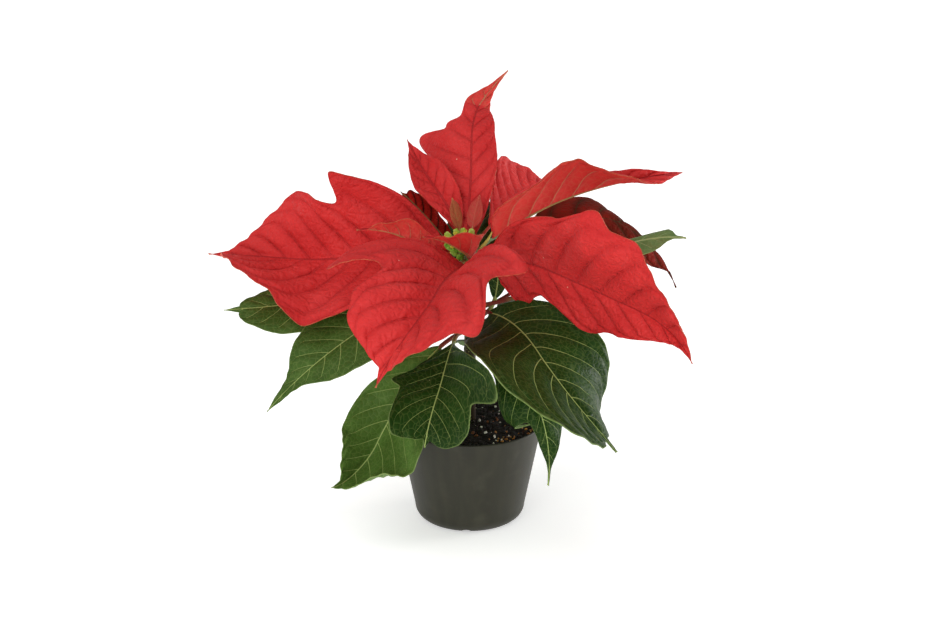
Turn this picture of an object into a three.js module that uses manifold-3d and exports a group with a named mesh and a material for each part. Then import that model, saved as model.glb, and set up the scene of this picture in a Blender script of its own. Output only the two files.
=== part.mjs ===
// A potted poinsettia: one upright stem in a plastic nursery pot of soil, green lobed leaves on stalks,
// two half-turned maroon leaves, a whorl of red bracts and a crown of small yellow-green flower cups.
// Millimetres, +Z up, the origin at the centre of the pot's flat base.
// Headings are degrees anticlockwise from +X, seen from above. Climbs are degrees above the horizontal.

import * as THREE from 'three';
import { mergeVertices } from 'three/addons/utils/BufferGeometryUtils.js';
import Module from 'manifold-3d';

const wasm = await Module();
wasm.setup();

const DEGREE = Math.PI / 180;
const TURN = 2 * Math.PI;
const GAP = 0.3; // clearance between touching pieces

// ---- driving dimensions ----
const POT = {
  height: 70,
  rimRadius: 50,
  footRadius: 36, // where the tapered wall would meet the ground
  cornerRadius: 9.5, // rounding between wall and base
  cornerSteps: 5,
  wall: 1.5,
  segments: 42,
};
// Drainage notches round the foot, each a flat arch that runs outwards from `from` mm off the axis.
const NOTCH = { count: 6, width: 7, height: 3, from: 25, length: 14, sides: 10, firstHeading: -94 };
// The soil's top is heaped by `rise` in the middle, with bumps that die out `calmRim` mm from the rim.
const SOIL = { belowRim: 2.5, rise: 3, bump: 0.8, bumpSpacing: 18, calmRim: 17, rings: 5, segments: 21 };
const SOIL_SEED = 7;
// Perlite grains and fertiliser beads: how many, their radii, and how far out they lie.
const LUMPS = { count: 22, smallest: 0.9, largest: 1.9, spread: 0.94 };
const STEM = { foot: 4.6, middle: 4, top: 3, crown: 193, root: 40, sides: 12, rings: 6, cap: 1 };
// A blade's outline ends `tail` short of its tip, and a margin of `edge` mm all round runs on to the tip.
const BLADE = { thickness: 0.9, leastHalf: 0.45, edge: 1.2, fade: 0.12, tail: 0.1 };
// How many strips a blade is split into across, and how wide in all it must be to count as broad.
const STRIPS = { slim: 4, broad: 6, broadFrom: 50 };
// The drawn-out tip widens the outline by a share of its width, from one share of its length to the end.
const TIP = { share: 0.07, from: 0.7, full: 0.9 };
const KEEL = 0.15; // a fold rounds out over this share of the half-width, beside the midrib
const SWEEP = { foot: 78, tip: 42, bend: 8 }; // angle of the side veins to the midrib
const WAVE = { height: 1.2, cycles: 3, phase: 0.1 }; // gentle waves of the margin
const STALK = {
  radius: { bract: 1, young: 0.7, maroon: 1.3, leaf: 1.5 },
  intoBlade: 0.1, // share of the blade that the stalk runs on under, as its midrib
  sides: 6,
  bends: 6,
  rings: 6,
};
const CUP = { radius: 2.2, stretch: 1.3, berry: 1.6, berryRise: 0.6, stalk: 0.9, knob: 2.7, sides: 6 };

// Each flower cup leans from the middle of the crown: its middle, from the top of the stem.
const CUPS = [
  { x: -14, y: -4, z: 8 },
  { x: -8.5, y: -4, z: 10 },
  { x: -4, y: -4, z: 10.5 },
  { x: 1, y: -4, z: 10 },
  { x: -6, y: -7, z: -0.5 },
  { x: -14, y: -6, z: 1.5 },
  { x: -10, y: -8, z: -2 },
  { x: -6, y: -8.5, z: -5.5 },
  { x: -10, y: -6.5, z: 2 },
];

// Every leaf and bract, from the crown down. It grows out of the stem at height `from` with a stalk and
// then a blade, whose widths are half-widths [left, right] seen from the stem and `widest` is where they
// are reached. heading, climb, roll, fold and curl are degrees that change evenly along the leaf: roll
// turns the blade about its midrib, fold lifts each half, curl bends it down again towards its margin.
// A tooth or lobe is [side (0 left, 1 right), at which vein, height, half its base in veins]; a height
// below zero is a notch.
const LEAVES = [
  {
    name: 'bract_front', kind: 'bract', from: 181, stalk: 6, length: 153, width: [49, 56],
    widest: 0.45, fullness: 2, veins: 7, heading: [255, 255, 205], climb: [15, 0, -25, -65],
    roll: [0, 0, 5], fold: [[50, 40], [70, 45]], curl: [[0, 95], [95, 70]],
    teeth: [[1, 1.6, 41, 1.1], [1, 3.1, -12, 0.9], [0, 2, 29, 1.1], [0, 4, 15, 0.8], [1, 5.5, 3, 1.2]],
  },
  {
    name: 'bract_left', kind: 'bract', from: 187, stalk: 9, length: 174, width: [58, 45],
    widest: 0.5, fullness: 2.25, veins: 8, heading: [180, 165, 160], climb: [15, -15, 0, -5],
    roll: [45, 60, 5], fold: [[35, 40], [35, 10]], curl: [[10, 0], [-40, -30]],
    teeth: [[1, 1.5, 51, 1.5], [1, 4, 12, 1.9], [0, 2.5, 28, 2.1]],
  },
  {
    name: 'bract_top', kind: 'bract', from: 188, stalk: 8, length: 155, width: [30, 20],
    widest: 0.35, fullness: 2, veins: 8, heading: [95, 85, 90, 70, 45], climb: [60, 45, 45, 20, 30],
    roll: [20, 10, -50], fold: [[5, -15], [15, -5]], curl: [[30, 30], [15, 25]],
    teeth: [[0, 4, 25, 1], [0, 6, -7, 0.9], [1, 5.5, 2, 1.5]],
  },
  {
    name: 'bract_top_left', kind: 'bract', from: 191, stalk: 14, length: 80, width: [16, 16],
    widest: 0.45, fullness: 2, veins: 6, heading: [120, 130, 120], climb: [50, 35, 40],
    roll: [30, 45, 5], fold: [[50, 40], [25, 5]], curl: [[15, 10], [15, 15]], teeth: [],
  },
  {
    name: 'bract_small_left', kind: 'bract', from: 183, stalk: 24, length: 60, width: [14, 12],
    widest: 0.35, fullness: 2, veins: 6, heading: [207, 210, 185], climb: [10, 40, -5],
    roll: [-10, -5, 0], fold: [[80, 60], [60, 50]], curl: [[10, 10], [10, 10]], teeth: [],
  },
  {
    name: 'bract_back_right', kind: 'bract', from: 191, stalk: 21, length: 91, width: [34, 16],
    widest: 0.5, fullness: 2.25, veins: 7, heading: [45, 65, 55], climb: [40, 10, -10],
    roll: [-40, -15], fold: [[30, 0], [40, 10]], curl: [[-20, -25], [5, 10]], teeth: [],
  },
  {
    name: 'bract_right_raised', kind: 'bract', from: 188, stalk: 16, length: 145, width: [19, 42],
    widest: 0.25, fullness: 1.5, veins: 7, heading: [-5, 25, -10, 55], climb: [45, 20, 15, -10],
    roll: [25, 15, -75], fold: [[50, 75, 0], [70, 65, 30]], curl: [[55, 10], [115, -5]], teeth: [],
  },
  {
    name: 'bract_right', kind: 'bract', from: 183, stalk: 12, length: 187, width: [74, 29],
    widest: 0.45, fullness: 2.25, veins: 8, heading: [320, 320, 320, 280], climb: [20, -10, -10, -20],
    roll: [-75, -95, -70], fold: [[30, 55], [-45, 15]], curl: [[10, 60], [-45, -5]],
    teeth: [[0, 3, 18, 0.9], [0, 6, -12, 1.6], [1, 0.5, 25, 1.6], [1, 3.5, 8, 1.3]],
  },
  {
    name: 'bract_small_front', kind: 'bract', from: 184, stalk: 0, length: 48, width: [18, 8],
    widest: 0.2, fullness: 2, veins: 5, heading: [280, 200, 180], climb: [35, 35, 5],
    roll: [-5, -10], fold: [[65, 40], [60, 50]], curl: [[0, 0], [-10, 0]], teeth: [],
  },
  {
    name: 'bractlet_yellow', kind: 'young', from: 191, stalk: 13, length: 22, width: [6, 8],
    widest: 0.4, fullness: 2, veins: 4, heading: [160, 135], climb: [70, 75],
    roll: [0, -10], fold: [[10, 10], [10, 0]], curl: [[25, 15], [15, 20]], teeth: [],
  },
  {
    name: 'bractlet_red', kind: 'young', from: 192, stalk: 12, length: 23, width: [7, 9],
    widest: 0.35, fullness: 2, veins: 4, heading: [80, 45], climb: [70, 65],
    roll: [5, 0], fold: [[5, 5], [20, 30]], curl: [[40, 20], [15, 0]], teeth: [],
  },
  {
    name: 'bractlet_olive', kind: 'young', from: 190, stalk: 6, length: 15, width: [2.4, 2.4],
    widest: 0.45, fullness: 2, veins: 4, heading: [325, 345], climb: [20, 75],
    roll: [0, 0], fold: [[30, 20], [30, 20]], curl: [[10, 10], [10, 10]], teeth: [],
  },
  {
    name: 'dark_leaf_left', kind: 'maroon', from: 183, stalk: 10, length: 57, width: [14, 16],
    widest: 0.62, fullness: 2, veins: 6, heading: [140, 145, 145], climb: [30, 40, 30],
    roll: [0, 10], fold: [[20, 10], [10, 10]], curl: [[10, 10], [20, 20]], teeth: [],
  },
  {
    name: 'dark_leaf_right', kind: 'maroon', from: 149, stalk: 42, length: 152, width: [36, 29],
    widest: 0.45, fullness: 1.75, veins: 7, heading: [0, 35, 20, 0], climb: [15, 55, -30, -70],
    roll: [-30, -30, -10], fold: [[15, -35], [5, -25]], curl: [[10, 35], [20, 30]], teeth: [],
  },
  {
    name: 'leaf_back_right', kind: 'leaf', from: 152, stalk: 58, length: 99, width: [28, 18],
    widest: 0.45, fullness: 2.25, veins: 7, heading: [-34, 10, -40], climb: [15, 33, 5],
    roll: [10, -55], fold: [[-15, -35], [-5, 0]], curl: [[30, 40], [20, 30]], teeth: [],
  },
  {
    name: 'leaf_far_left', kind: 'leaf', from: 159, stalk: 38, length: 125, width: [30, 24],
    widest: 0.5, fullness: 1.75, veins: 7, heading: [175, 185, 175], climb: [10, -10, -5],
    roll: [30, 40], fold: [[10, 10], [10, 0]], curl: [[20, 20], [20, 20]], teeth: [],
  },
  {
    name: 'leaf_left', kind: 'leaf', from: 155, stalk: 30, length: 130, width: [30, 36],
    widest: 0.35, fullness: 2.25, veins: 8, heading: [200, 210, 205], climb: [20, -20, -30, -45],
    roll: [20, 20], fold: [[10, 0], [10, 10]], curl: [[10, 30], [10, 10]], teeth: [],
  },
  {
    name: 'leaf_front_left', kind: 'leaf', from: 135, stalk: 25, length: 129, width: [60, 32],
    widest: 0.5, fullness: 2.25, veins: 8, heading: [230, 195, 245], climb: [0, -55, -60, 15],
    roll: [50, 50], fold: [[10, 95], [25, 30]], curl: [[35, 20], [10, 5]], teeth: [],
  },
  {
    name: 'leaf_front', kind: 'leaf', from: 138, stalk: 25, length: 79, width: [38, 30],
    widest: 0.5, fullness: 1.75, veins: 7, heading: [245, 255, 245], climb: [10, -40, -35, -70],
    roll: [-30, 20], fold: [[40, 15], [15, 25]], curl: [[-35, 0], [10, -20]],
    teeth: [[0, 2, 37, 1.7], [1, 5.5, 8, 1.8], [1, 2.5, 9, 0.8]],
  },
  {
    name: 'leaf_right', kind: 'leaf', from: 148, stalk: 21, length: 149, width: [62, 67],
    widest: 0.45, fullness: 1.75, veins: 8, heading: [305, 295, 345], climb: [20, -10, -35, -50],
    roll: [-40, -10, -20], fold: [[-18, -18, -50], [20, 55]], curl: [[-25, 25], [-5, 50]], teeth: [],
  },
  {
    name: 'leaf_low_right', kind: 'leaf', from: 122, stalk: 24, length: 104, width: [23, 13],
    widest: 0.35, fullness: 2.25, veins: 7, heading: [305, 310, 300], climb: [-15, -5, -65, -100],
    roll: [-5, 0], fold: [[15, -5], [0, -25]], curl: [[15, 20], [50, 75]],
    teeth: [[1, 2.5, 35, 1.9]],
  },
  {
    name: 'leaf_axil', kind: 'leaf', from: 144, stalk: 21, length: 36, width: [9, 9],
    widest: 0.5, fullness: 2, veins: 5, heading: [345, 350, 350], climb: [10, 75, 88, 88],
    roll: [-80, -80], fold: [[20, 15], [20, 15]], curl: [[20, 20], [20, 20]], teeth: [],
  },
  {
    name: 'leaf_back', kind: 'leaf', from: 148, stalk: 22, length: 80, width: [30, 22],
    widest: 0.4, fullness: 2, veins: 7, heading: [95, 75, 90], climb: [25, 60, 0],
    roll: [20, 20], fold: [[10, 0], [10, 0]], curl: [[20, 20], [20, 20]], teeth: [],
  },
  {
    name: 'leaf_back_left', kind: 'leaf', from: 142, stalk: 26, length: 90, width: [24, 24],
    widest: 0.4, fullness: 2, veins: 7, heading: [150, 155, 150], climb: [10, -10, -30],
    roll: [10, 10], fold: [[10, 0], [10, 0]], curl: [[20, 20], [20, 20]], teeth: [],
  },
  {
    name: 'leaf_rear_right', kind: 'leaf', from: 134, stalk: 26, length: 90, width: [26, 24],
    widest: 0.4, fullness: 2, veins: 7, heading: [50, 40, 40], climb: [15, -10, -30],
    roll: [-5, -5], fold: [[10, 0], [10, 0]], curl: [[20, 20], [20, 20]], teeth: [],
  },
  {
    name: 'leaf_low_back', kind: 'leaf', from: 112, stalk: 20, length: 70, width: [20, 20],
    widest: 0.4, fullness: 2, veins: 6, heading: [80, 85, 85], climb: [10, -15, -40],
    roll: [0, 0], fold: [[10, 0], [10, 0]], curl: [[20, 20], [20, 20]], teeth: [],
  },
];

const COLOURS = {
  bract: '#b92a27',
  young: '#a0612a',
  maroon: '#4f211c',
  leaf: '#3e5226',
  stem: '#5d6b38',
  cups: '#8fae3a',
  pot: '#3d3d31',
  soil: '#191410',
};

// ---- small helpers ----
const clamp = (value) => Math.min(Math.max(value, 0), 1);

const mix = (from, to, share) => from + (to - from) * share;

// A value that changes evenly along a list, at a fraction 0 to 1 of the way.
function along(list, fraction) {
  const place = clamp(fraction) * (list.length - 1);
  const index = Math.min(Math.floor(place), list.length - 2);
  return mix(list[index], list[index + 1], place - index);
}

function steps(from, to, count) {
  return Array.from({ length: count + 1 }, (_, i) => mix(from, to, i / count));
}

// A small repeatable random source.
function randomFrom(seed) {
  let state = seed;
  return () => {
    state = (state * 16807) % 2147483647;
    return state / 2147483647;
  };
}

// A closed geometry as a solid that can be joined and cut.
function solidOf(geometry) {
  const bare = geometry.clone();
  bare.deleteAttribute('normal');
  bare.deleteAttribute('uv');
  const merged = mergeVertices(bare, 1e-4);
  const corners = merged.index.array;
  const kept = [];
  for (let i = 0; i < corners.length; i += 3) {
    const [a, b, c] = corners.slice(i, i + 3);
    if (a !== b && b !== c && c !== a) kept.push(a, b, c);
  }
  return new wasm.Manifold(
    new wasm.Mesh({
      numProp: 3,
      vertProperties: new Float32Array(merged.attributes.position.array),
      triVerts: new Uint32Array(kept),
    }),
  );
}

function geometryOf(solid) {
  const mesh = solid.getMesh();
  const geometry = new THREE.BufferGeometry();
  geometry.setAttribute('position', new THREE.BufferAttribute(mesh.vertProperties, 3));
  geometry.setIndex(new THREE.BufferAttribute(mesh.triVerts, 1));
  geometry.computeVertexNormals();
  return geometry;
}

const fuse = (geometries) => geometries.map(solidOf).reduce((whole, next) => whole.add(next));

// A shape turned about the upright axis, from a list of [radius, height].
function lathe(profile, segments) {
  const points = profile.map(([radius, height]) => new THREE.Vector2(radius, height));
  return new THREE.LatheGeometry(points, segments).rotateX(Math.PI / 2);
}

// A tube of even radius along a list of points.
function tube(points, radius, sides, segments) {
  const corners = steps(0, TURN, sides).slice(1);
  const ring = new THREE.Shape(
    corners.map((angle) => new THREE.Vector2(radius * Math.cos(angle), radius * Math.sin(angle))),
  );
  const extrudePath = new THREE.CatmullRomCurve3(points);
  return new THREE.ExtrudeGeometry(ring, { extrudePath, steps: segments, bevelEnabled: false });
}

// ---- stem ----
const stemFoot = POT.height - STEM.root;

function stemRadius(z) {
  return along([STEM.foot, STEM.middle, STEM.top], (z - stemFoot) / (STEM.crown - stemFoot));
}

// The stem, or with some `extra` all round, the cut that keeps its neighbours clear of it.
function stemGeometry(extra) {
  const foot = stemFoot - extra;
  const top = STEM.crown + extra;
  const side = steps(foot, top - STEM.cap, STEM.rings).map((z) => [stemRadius(z) + extra, z]);
  return lathe([[0, foot], ...side, [stemRadius(top) - STEM.cap / 2 + extra, top], [0, top]], STEM.sides);
}

const stemCut = solidOf(stemGeometry(GAP));

// ---- leaves and bracts ----
const RIB_STEPS = 60;

function direction(leaf, fraction) {
  const climb = along(leaf.climb, fraction) * DEGREE;
  const heading = along(leaf.heading, fraction) * DEGREE;
  const flat = Math.cos(climb);
  return new THREE.Vector3(flat * Math.cos(heading), flat * Math.sin(heading), Math.sin(climb));
}

// The line of the stalk and midrib, walked from the stem's side to the tip.
function ribOf(leaf) {
  const step = (leaf.stalk + leaf.length) / RIB_STEPS;
  const heading = leaf.heading[0] * DEGREE;
  const out = stemRadius(leaf.from);
  const points = [new THREE.Vector3(out * Math.cos(heading), out * Math.sin(heading), leaf.from)];
  for (let i = 0; i < RIB_STEPS; i += 1) {
    points.push(points[i].clone().addScaledVector(direction(leaf, (i + 0.5) / RIB_STEPS), step));
  }
  return points;
}

function pointOn(rib, fraction) {
  const place = clamp(fraction) * RIB_STEPS;
  const index = Math.min(Math.floor(place), RIB_STEPS - 1);
  return rib[index].clone().lerp(rib[index + 1], place - index);
}

// The point of the midrib x mm past the blade's foot, with the directions across and out of the blade.
function frameAt(leaf, rib, x) {
  const total = leaf.stalk + leaf.length;
  const fraction = (leaf.stalk + x) / total;
  const ahead = direction(leaf, fraction);
  const point = pointOn(rib, fraction).addScaledVector(ahead, (fraction - clamp(fraction)) * total);
  const heading = along(leaf.heading, fraction) * DEGREE;
  const side = new THREE.Vector3(Math.sin(heading), -Math.cos(heading), 0);
  const up = side.clone().cross(ahead);
  const roll = along(leaf.roll, x / leaf.length) * DEGREE;
  const across = side.clone().multiplyScalar(Math.cos(roll)).addScaledVector(up, Math.sin(roll));
  const face = up.multiplyScalar(Math.cos(roll)).addScaledVector(side, -Math.sin(roll));
  return { point, across, face };
}

// The half-width of the blade at a share s of its length: a smooth outline, its lobes, and a thin tip.
function reach(leaf, s, side) {
  const { widest, fullness, veins } = leaf;
  const done = Math.min(Math.max(s / (1 - BLADE.tail), 1e-6), 1);
  const left = Math.max(1 - done, 1e-9);
  let half = leaf.width[side] * (done / widest) ** (widest * fullness);
  half *= (left / (1 - widest)) ** ((1 - widest) * fullness);
  for (const [toothSide, vein, height, base] of leaf.teeth) {
    const near = clamp(1 - Math.abs(done * (veins + 1) - vein) / base);
    if (toothSide === side) half += height * near * near * (3 - 2 * near);
  }
  const drawn = clamp(Math.min((s - TIP.from) / (TIP.full - TIP.from), (1 - s) / (1 - TIP.full)));
  half += TIP.share * leaf.width[side] * drawn;
  const fade = Math.sqrt(clamp((1 - s) / BLADE.fade));
  return Math.max(half + BLADE.edge * fade, BLADE.leastHalf);
}

// A point of the blade's middle surface: s runs along the midrib, t from the left margin (-1) to the right.
function bladePoint(leaf, rib, s, t) {
  const side = t > 0 ? 1 : 0;
  const width = Math.abs(t) * reach(leaf, s, side);
  const lean = (mix(SWEEP.foot, SWEEP.tip, s) - SWEEP.bend * Math.abs(t)) * DEGREE;
  const x = s * leaf.length + width * Math.cos(lean);
  const y = width * Math.sin(lean);
  const { point, across, face } = frameAt(leaf, rib, x);
  const curl = (along(leaf.curl[side], x / leaf.length) * y) / leaf.width[side] / 2;
  const rounded = ((1 + KEEL) * y) / (y + KEEL * leaf.width[side]);
  const lift = (along(leaf.fold[side], x / leaf.length) * rounded - curl) * DEGREE;
  const swing = WAVE.height * t * t * Math.sin(TURN * (WAVE.cycles * s + WAVE.phase + side / 2));
  const wave = leaf.kind === 'young' ? 0 : swing;
  point.addScaledVector(across, (side ? y : -y) * Math.cos(lift));
  return point.addScaledVector(face, y * Math.sin(lift) + wave);
}

function bladeNormal(leaf, rib, s, t) {
  const ds = 0.004;
  const dt = 0.03;
  const ahead = bladePoint(leaf, rib, s + ds, t).sub(bladePoint(leaf, rib, s - ds, t));
  const across = bladePoint(leaf, rib, s, t + dt).sub(bladePoint(leaf, rib, s, t - dt));
  return across.cross(ahead).normalize();
}

// Shares of the length where the blade has a row of points: at its veins, between them too where it has
// lobes, and two more for the drawn-out tip.
function rowsOf(leaf) {
  const perVein = leaf.teeth.length > 0 ? 2 : 1;
  const body = steps(0, 1 - BLADE.tail, perVein * (leaf.veins + 1));
  return [...body, 1 - BLADE.tail / 2, 1];
}

// A closed blade of even thickness, split into triangles alike on both faces.
function bladeGeometry(leaf, rib) {
  const rows = rowsOf(leaf);
  const broad = leaf.width[0] + leaf.width[1] > STRIPS.broadFrom;
  const columns = steps(-1, 1, broad ? STRIPS.broad : STRIPS.slim);
  const wide = columns.length;
  const positions = [];
  for (const face of [0.5, -0.5]) {
    for (const s of rows) {
      for (const t of columns) {
        const normal = bladeNormal(leaf, rib, s, t);
        const point = bladePoint(leaf, rib, s, t).addScaledVector(normal, face * BLADE.thickness);
        positions.push(point.x, point.y, point.z);
      }
    }
  }
  const under = rows.length * wide;
  const index = [];
  const quad = (a, b, c, d) => index.push(a, b, c, a, c, d);
  for (let i = 0; i < rows.length - 1; i += 1) {
    const left = i * wide;
    const right = left + wide - 1;
    for (let a = left; a < right; a += 1) {
      quad(a, a + 1, a + wide + 1, a + wide);
      index.push(under + a, under + a + wide + 1, under + a + 1);
      index.push(under + a, under + a + wide, under + a + wide + 1);
    }
    quad(left, left + wide, under + left + wide, under + left);
    quad(right + wide, right, under + right, under + right + wide);
  }
  const last = (rows.length - 1) * wide;
  for (let j = 0; j < wide - 1; j += 1) {
    quad(j + 1, j, under + j, under + j + 1);
    quad(last + j, last + j + 1, under + last + j + 1, under + last + j);
  }
  const geometry = new THREE.BufferGeometry();
  geometry.setAttribute('position', new THREE.Float32BufferAttribute(positions, 3));
  geometry.setIndex(index);
  return geometry;
}

// A leaf or bract: its stalk runs from the stem a little way into its blade, cut back clear of the stem.
function leafSolid(leaf) {
  const rib = ribOf(leaf);
  const inBlade = (leaf.stalk + leaf.length * STALK.intoBlade) / (leaf.stalk + leaf.length);
  const line = steps(0, inBlade, STALK.bends).map((fraction) => pointOn(rib, fraction));
  const onAxis = new THREE.Vector3(0, 0, leaf.from);
  const stalk = tube([onAxis, ...line], STALK.radius[leaf.kind], STALK.sides, STALK.rings);
  return fuse([bladeGeometry(leaf, rib), stalk]).subtract(stemCut);
}

// ---- flower cups ----
// Turns a shape that stands on the Y axis to point along a line, and puts it in place.
function lay(geometry, line, place) {
  const turn = new THREE.Quaternion().setFromUnitVectors(new THREE.Vector3(0, 1, 0), line);
  return geometry.applyQuaternion(turn).translate(place.x, place.y, place.z);
}

function cupsSolid() {
  const root = new THREE.Vector3(0, 0, STEM.crown + GAP);
  const knob = new THREE.SphereGeometry(CUP.knob, CUP.sides, CUP.sides);
  const parts = [knob.rotateX(Math.PI / 2).translate(0, 0, root.z)];
  for (const { x, y, z } of CUPS) {
    const middle = new THREE.Vector3(x, y, STEM.crown + z);
    const leaning = middle.clone().sub(root).normalize();
    const upwards = leaning.clone().add(new THREE.Vector3(0, 0, 1)).normalize();
    const stalk = new THREE.CylinderGeometry(CUP.stalk, CUP.stalk, middle.distanceTo(root), CUP.sides);
    parts.push(lay(stalk, leaning, root.clone().lerp(middle, 0.5)));
    const body = new THREE.SphereGeometry(CUP.radius, CUP.sides, CUP.sides).scale(1, CUP.stretch, 1);
    parts.push(lay(body, upwards, middle));
    const berry = middle.clone().addScaledVector(upwards, CUP.radius * CUP.stretch * CUP.berryRise);
    parts.push(new THREE.IcosahedronGeometry(CUP.berry, 0).translate(berry.x, berry.y, berry.z));
  }
  return fuse(parts).subtract(stemCut);
}

// ---- pot and soil ----
const slope = (POT.rimRadius - POT.footRadius) / POT.height;
const wallRadius = (z) => POT.footRadius + slope * z;

// The rounded corner between base and wall, `inset` mm inside the pot's outer side.
function corner(inset) {
  const radius = POT.cornerRadius - inset;
  const centre = wallRadius(POT.cornerRadius) - POT.cornerRadius;
  return steps(-90, 0, POT.cornerSteps).map((angle) => [
    centre + radius * Math.cos(angle * DEGREE),
    POT.cornerRadius + radius * Math.sin(angle * DEGREE),
  ]);
}

function potSolid() {
  const outside = [...corner(0), [POT.rimRadius, POT.height]];
  const inside = [...corner(POT.wall), [POT.rimRadius - POT.wall, POT.height]];
  const profile = [[0, 0], ...outside, ...inside.reverse(), [0, POT.wall]];
  let pot = solidOf(lathe(profile, POT.segments));
  for (let i = 0; i < NOTCH.count; i += 1) {
    const arch = new THREE.CylinderGeometry(NOTCH.height, NOTCH.height, NOTCH.length, NOTCH.sides)
      .rotateZ(Math.PI / 2)
      .scale(1, NOTCH.width / 2 / NOTCH.height, 1)
      .translate(NOTCH.from + NOTCH.length / 2, 0, 0)
      .rotateZ(NOTCH.firstHeading * DEGREE + (i * TURN) / NOTCH.count);
    pot = pot.subtract(solidOf(arch));
  }
  return pot;
}

// Height of the soil's slightly heaped and uneven top.
function soilTop(x, y) {
  const fromRim = POT.rimRadius - Math.hypot(x, y);
  const bump = Math.sin((TURN * x) / SOIL.bumpSpacing) * Math.cos((TURN * y) / SOIL.bumpSpacing);
  const heap = (SOIL.rise * fromRim) / POT.rimRadius;
  return POT.height - SOIL.belowRim + heap + SOIL.bump * bump * clamp(fromRim / SOIL.calmRim);
}

function soilSolid() {
  const edge = POT.wall + GAP;
  const top = POT.height - SOIL.belowRim;
  const rim = wallRadius(top) - edge;
  const inwards = steps(rim, 0, SOIL.rings).map((radius) => [radius, top]);
  const body = lathe([[0, edge], ...corner(edge), ...inwards], SOIL.segments);
  const place = body.attributes.position;
  for (let i = 0; i < place.count; i += 1) {
    if (place.getZ(i) > top - GAP) place.setZ(i, soilTop(place.getX(i), place.getY(i)));
  }
  const random = randomFrom(SOIL_SEED);
  const parts = [body];
  for (let i = 0; i < LUMPS.count; i += 1) {
    const size = mix(LUMPS.smallest, LUMPS.largest, random());
    const radius = (rim - size) * LUMPS.spread * Math.sqrt(random());
    const angle = TURN * random();
    const x = radius * Math.cos(angle);
    const y = radius * Math.sin(angle);
    parts.push(new THREE.IcosahedronGeometry(size, 0).translate(x, y, soilTop(x, y)));
  }
  return fuse(parts).subtract(stemCut);
}

// ---- assembly ----
const plant = new THREE.Group();

function addPiece(name, geometry, color, roughness) {
  const material = new THREE.MeshStandardMaterial({ color, roughness, metalness: 0 });
  const mesh = new THREE.Mesh(geometry, material);
  mesh.name = name;
  plant.add(mesh);
}

addPiece('pot', geometryOf(potSolid()), COLOURS.pot, 0.55);
addPiece('soil', geometryOf(soilSolid()), COLOURS.soil, 1);
addPiece('stem', geometryOf(solidOf(stemGeometry(0))), COLOURS.stem, 0.6);
addPiece('flower_cups', geometryOf(cupsSolid()), COLOURS.cups, 0.5);
for (const leaf of LEAVES) {
  addPiece(leaf.name, geometryOf(leafSolid(leaf)), COLOURS[leaf.kind], 0.5);
}

export default plant;
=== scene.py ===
"""A potted poinsettia, dressed: fine veined bracts and leaves, flower cups, a moulded pot and its soil."""

import math
import random
from types import SimpleNamespace as Values

import bpy
import numpy as np
from mathutils import Matrix, Vector, noise


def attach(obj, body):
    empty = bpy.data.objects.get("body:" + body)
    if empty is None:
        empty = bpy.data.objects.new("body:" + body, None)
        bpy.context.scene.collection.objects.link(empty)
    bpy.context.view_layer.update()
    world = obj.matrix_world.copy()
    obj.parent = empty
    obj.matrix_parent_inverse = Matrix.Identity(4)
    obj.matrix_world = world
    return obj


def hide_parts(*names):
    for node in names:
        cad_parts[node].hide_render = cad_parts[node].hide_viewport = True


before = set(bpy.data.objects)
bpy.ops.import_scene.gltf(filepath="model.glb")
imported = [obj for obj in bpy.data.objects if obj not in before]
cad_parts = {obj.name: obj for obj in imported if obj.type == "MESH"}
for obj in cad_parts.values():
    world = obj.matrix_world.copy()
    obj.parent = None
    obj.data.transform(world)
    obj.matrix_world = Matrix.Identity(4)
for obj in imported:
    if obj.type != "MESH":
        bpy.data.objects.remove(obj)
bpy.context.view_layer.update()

MM = 0.001
TURN = 2 * math.pi

# ---- driving dimensions, in millimetres and degrees, the same as the solids' ----
POT = Values(height=70, rim_radius=50, foot_radius=36, corner=9.5, wall=1.5)
NOTCH = Values(count=6, width=7, height=3, start=25, length=14, first_heading=-94)
SOIL = Values(below_rim=2.5, rise=3, bump=0.8, bump_spacing=18, calm_rim=17, gap=0.3)
STEM = Values(foot=4.6, middle=4, top=3, crown=193, root=30)
BLADE = Values(thickness=0.5, least_half=0.45, edge=1.2, fade=0.12, tail=0.1)
TIP = Values(share=0.07, start=0.7, full=0.9)
KEEL = 0.15  # a fold rounds out over this share of the half-width, beside the midrib
SWEEP = Values(foot=78, tip=42, bend=8)
WAVE = Values(height=1.2, cycles=3, phase=0.1)
STALK_RADIUS = {"bract": 1.0, "bractlet": 0.7, "dark": 1.3, "leaf": 1.5}
RIB_STEPS = 60

# Each flower cup's middle, from the top of the stem.
CUPS = [
    (-14, -4, 8), (-8.5, -4, 10), (-4, -4, 10.5), (1, -4, 10),
    (-6, -7, -0.5), (-14, -6, 1.5), (-10, -8, -2), (-6, -8.5, -5.5), (-10, -6.5, 2),
]

# ---- what the finer pieces add ----
SCAR = Values(height=0.25, below=1.2, length=1.4)  # the swelling under each leaf's foot on the stem
MESH_STEP = 1.25  # distance between the points of a blade
# A side vein bows forwards by `bow` of the vein spacing, then past `turn` of the way out loops into the next.
VEIN = Values(bow=0.25, turn=0.8, joined=1.0, stagger=0.3)
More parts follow.
